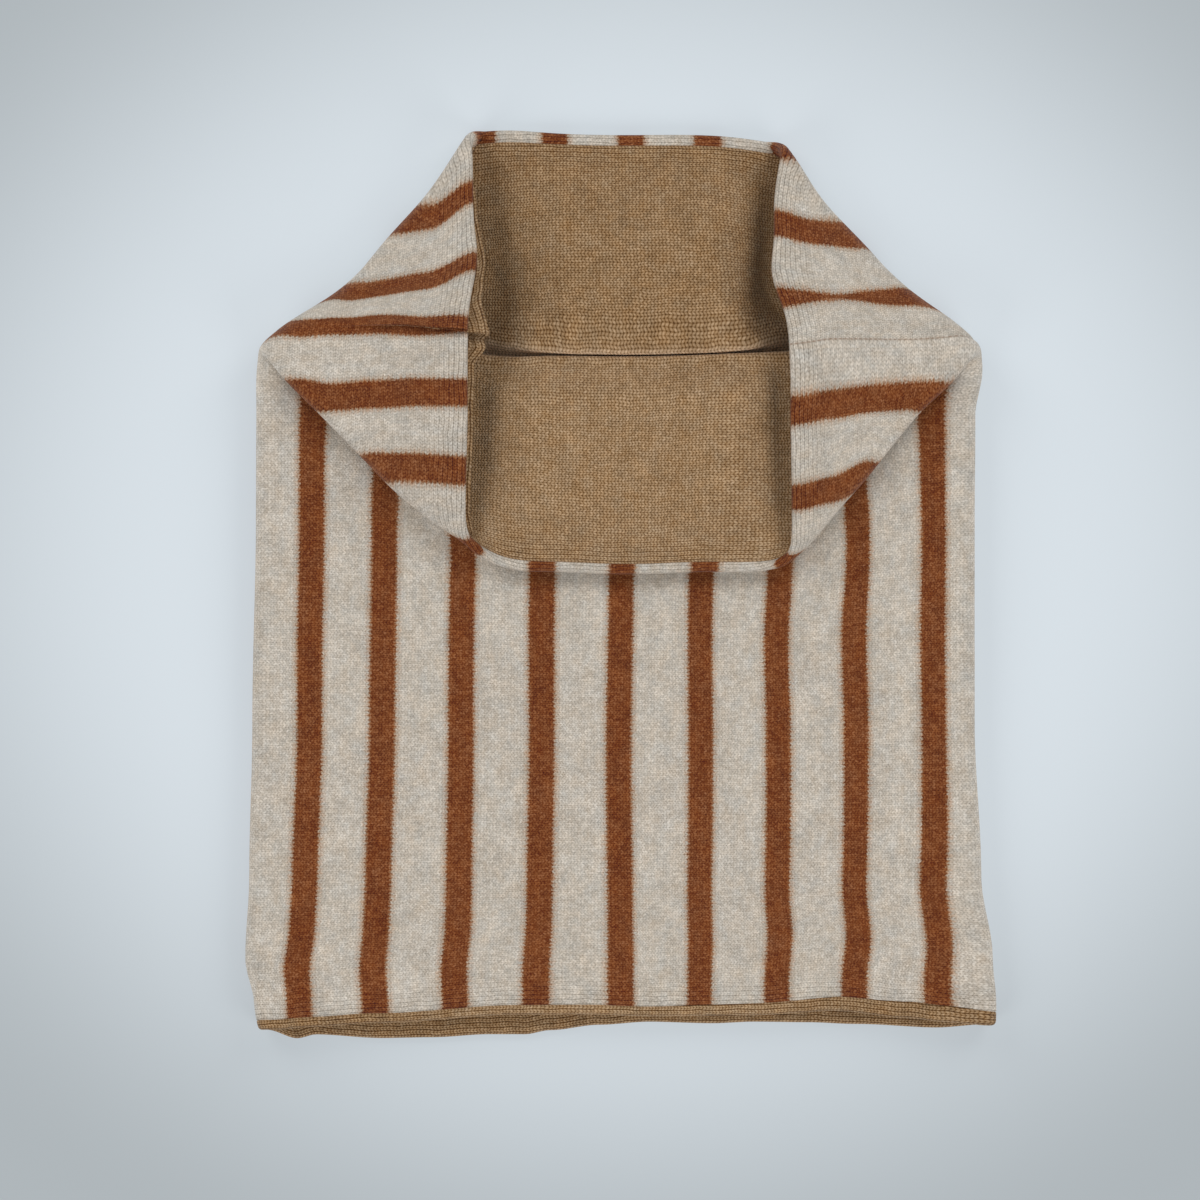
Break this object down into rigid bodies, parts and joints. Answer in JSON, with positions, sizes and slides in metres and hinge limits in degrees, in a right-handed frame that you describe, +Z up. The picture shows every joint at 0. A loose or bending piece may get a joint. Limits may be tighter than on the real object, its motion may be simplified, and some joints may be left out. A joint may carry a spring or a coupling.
{
  "type": "snood",
  "caption": "Double-layer knitted tube snood lying flat, striped outside and plain inside, upper end pulled open and pressed down into a square mouth with a folded flap at each side",
  "frame": {"origin": "middle of the lying snood's footprint, on the table", "axes": "+X to the right of the picture, across the tube; +Y along the tube from the hem to the opened mouth, the longest extent; +Z up from the table, the shortest extent"},
  "size_m": [0.293, 0.3539, 0.0349],
  "materials": {
    "outer_knit": "matte",
    "lining_knit": "matte"
  },
  "bodies": {
    "root": {"outer_tube": "outer_knit", "lining_tube": "lining_knit"}
  },
  "joints": []
}
